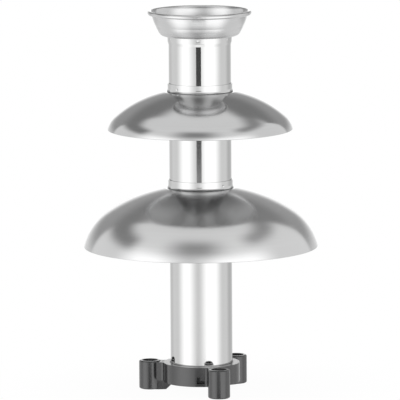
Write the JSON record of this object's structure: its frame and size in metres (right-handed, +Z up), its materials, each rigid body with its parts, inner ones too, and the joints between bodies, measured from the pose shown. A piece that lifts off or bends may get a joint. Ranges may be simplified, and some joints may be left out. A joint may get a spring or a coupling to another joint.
{
  "type": "chocolate fountain tower",
  "caption": "Stacked steel column with domed tiers, a rolled-rim crown cup, a screw auger inside and a plastic foot ring with peg sockets, lifting melted chocolate to cascade down.",
  "frame": {"origin": "on the column's axis, at the level of the feet of the foot ring", "axes": "+Z up along the column, -Y towards the side that the picture shows"},
  "size_m": [0.227, 0.227, 0.3716],
  "materials": {
    "polished_steel": "mirror-polished stainless steel",
    "spun_steel": "spun and satin-polished stainless steel",
    "black_plastic": "moulded black plastic, half gloss",
    "auger_steel": "brushed stainless steel"
  },
  "bodies": {
    "base": {"base_ring": "black_plastic", "lower_tube": "polished_steel", "lower_rest_ring": "polished_steel"},
    "auger": {"auger_tube": "auger_steel", "auger_flight": "auger_steel", "auger_drive_hub": "auger_steel", "auger_top_plug": "auger_steel"},
    "lower_tier": {"lower_tier": "spun_steel"},
    "middle_tube": {"middle_tube": "polished_steel", "middle_collar": "polished_steel", "upper_rest_ring": "polished_steel"},
    "upper_tier": {"upper_tier": "spun_steel"},
    "upper_tube": {"upper_tube": "polished_steel", "upper_collar": "polished_steel"},
    "crown": {"crown": "spun_steel", "crown_collar": "polished_steel"}
  },
  "joints": [
    {"name": "auger_spin", "type": "hinge", "parent": "base", "child": "auger", "pos_m": [0, 0, 0.0166], "axis": [0, 0, 1], "continuous": true},
    {"name": "lower_tier_lift", "type": "slide", "parent": "base", "child": "lower_tier", "axis": [0, 0, 1], "range_m": [0, 0.04]},
    {"name": "middle_tube_lift", "type": "slide", "parent": "lower_tier", "child": "middle_tube", "axis": [0, 0, 1], "range_m": [0, 0.04]},
    {"name": "upper_tier_lift", "type": "slide", "parent": "middle_tube", "child": "upper_tier", "axis": [0, 0, 1], "range_m": [0, 0.04]},
    {"name": "upper_tube_lift", "type": "slide", "parent": "upper_tier", "child": "upper_tube", "axis": [0, 0, 1], "range_m": [0, 0.04]},
    {"name": "crown_lift", "type": "slide", "parent": "upper_tube", "child": "crown", "axis": [0, 0, 1], "range_m": [0, 0.04]}
  ]
}
